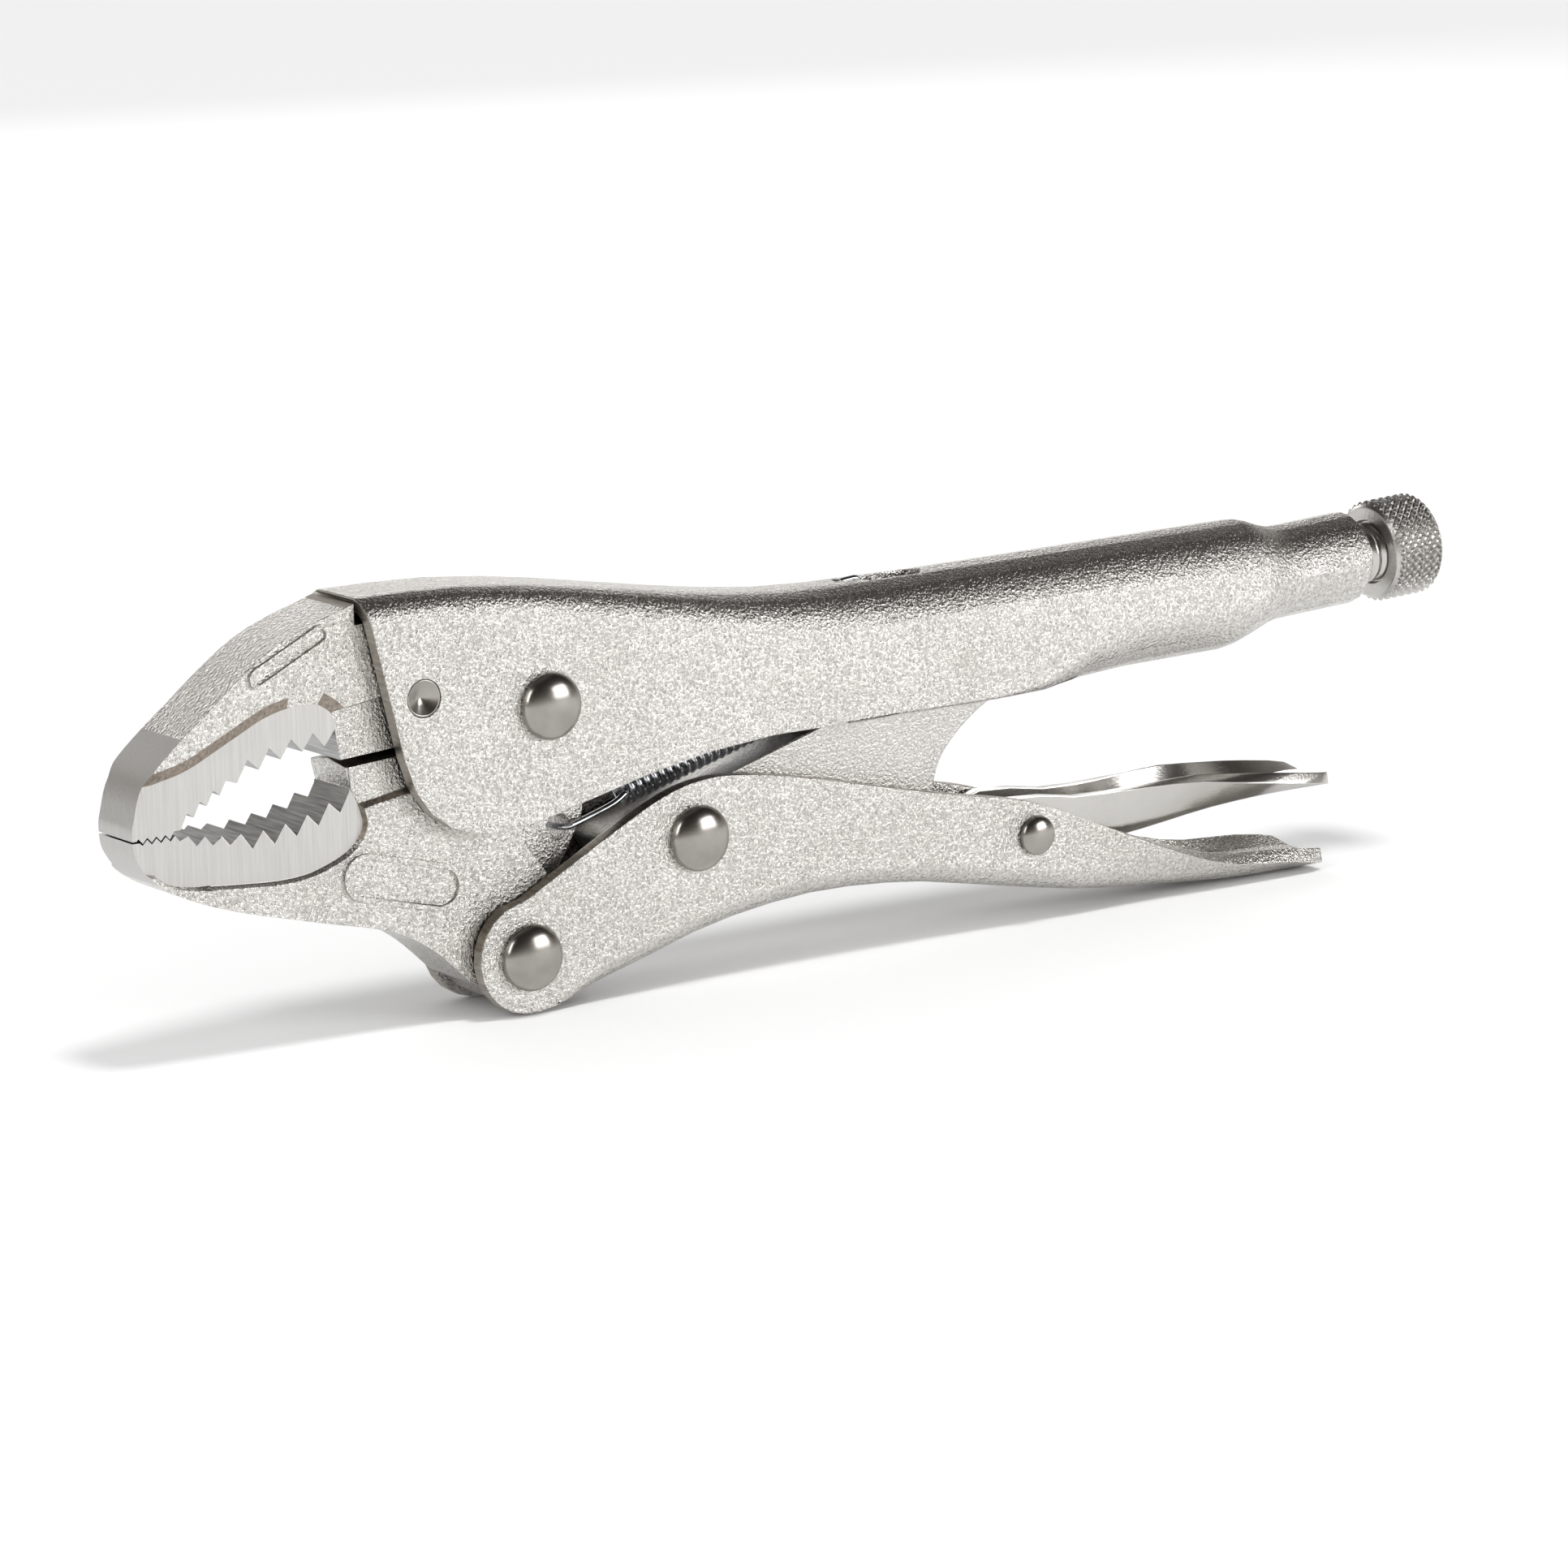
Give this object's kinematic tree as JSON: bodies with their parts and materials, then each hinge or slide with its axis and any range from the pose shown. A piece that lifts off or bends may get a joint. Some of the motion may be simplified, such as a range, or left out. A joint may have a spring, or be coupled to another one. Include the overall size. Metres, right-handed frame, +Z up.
{
  "type": "locking pliers",
  "caption": "Curved-jaw locking pliers with toggle linkage, adjusting screw and release lever, jaws closed.",
  "frame": {"origin": "centre of the closed tool's footprint, on the plane it stands on when resting on the lower pivot ear and the lever's tail", "axes": "+X runs along the handle from the jaws' nose to the adjusting knob, +Y is across the tool along the rivets, +Z is up from the lever to the handle"},
  "size_m": [0.2476, 0.0232, 0.0671],
  "materials": {
    "nickel_sheet": "satin nickel plate on pressed sheet steel",
    "nickel_lever": "satin nickel plate on pressed sheet steel",
    "nickel_release": "satin nickel plate on pressed sheet steel",
    "forged_jaw": "satin nickel plate on forged steel, working faces ground bright",
    "forged_link": "satin nickel plate on forged steel",
    "rivet_nickel": "smooth polished nickel",
    "spring_wire": "bright drawn spring wire",
    "screw_steel": "nickel-plated rolled thread",
    "knob_steel": "nickel-plated diamond knurl"
  },
  "bodies": {
    "handle": {"handle_shell": "nickel_sheet", "upper_jaw": "forged_jaw", "jaw_pin": "rivet_nickel", "jaw_rivet": "rivet_nickel", "spring": "spring_wire"},
    "lower_jaw": {"lower_jaw": "forged_jaw", "lever_rivet": "rivet_nickel"},
    "lever": {"lever": "nickel_lever", "link_rivet": "rivet_nickel", "release_rivet": "rivet_nickel"},
    "toggle_link": {"toggle_link": "forged_link"},
    "release_lever": {"release_lever": "nickel_release"},
    "screw": {"adjusting_screw": "screw_steel"},
    "knob": {"screw_knob": "knob_steel"}
  },
  "joints": [
    {"name": "jaw_open", "type": "hinge", "parent": "handle", "child": "lower_jaw", "pos_m": [-0.05353, 0, 0.0472], "axis": [0, -1, 0], "range_deg": [0, 25], "deforming": ["spring"]},
    {"name": "lever_fold", "type": "hinge", "parent": "lower_jaw", "child": "lever", "pos_m": [-0.05823, 0, 0.0089], "axis": [0, -1, 0], "range_deg": [-75, 0]},
    {"name": "link_fold", "type": "hinge", "parent": "lever", "child": "toggle_link", "pos_m": [-0.02723, 0, 0.0231], "axis": [0, -1, 0], "range_deg": [0, 76.5]},
    {"name": "release_press", "type": "hinge", "parent": "lever", "child": "release_lever", "pos_m": [0.03747, 0, 0.0145], "axis": [0, -1, 0], "range_deg": [-7, 0]},
    {"name": "screw_travel", "type": "slide", "parent": "handle", "child": "screw", "axis": [0.9986, 0, 0.0523], "range_m": [0, 0.015]},
    {"name": "knob_turn", "type": "hinge", "parent": "screw", "child": "knob", "pos_m": [0.10047, 0, 0.0498], "axis": [0.9986, 0, 0.0523], "continuous": true}
  ],
  "couplings": [
    {"joint": "lever_fold", "follows": "jaw_open", "ratio": -2.9858},
    {"joint": "link_fold", "follows": "jaw_open", "ratio": 3.0448},
    {"joint": "knob_turn", "follows": "screw_travel", "rad_per_m": 3307}
  ]
}
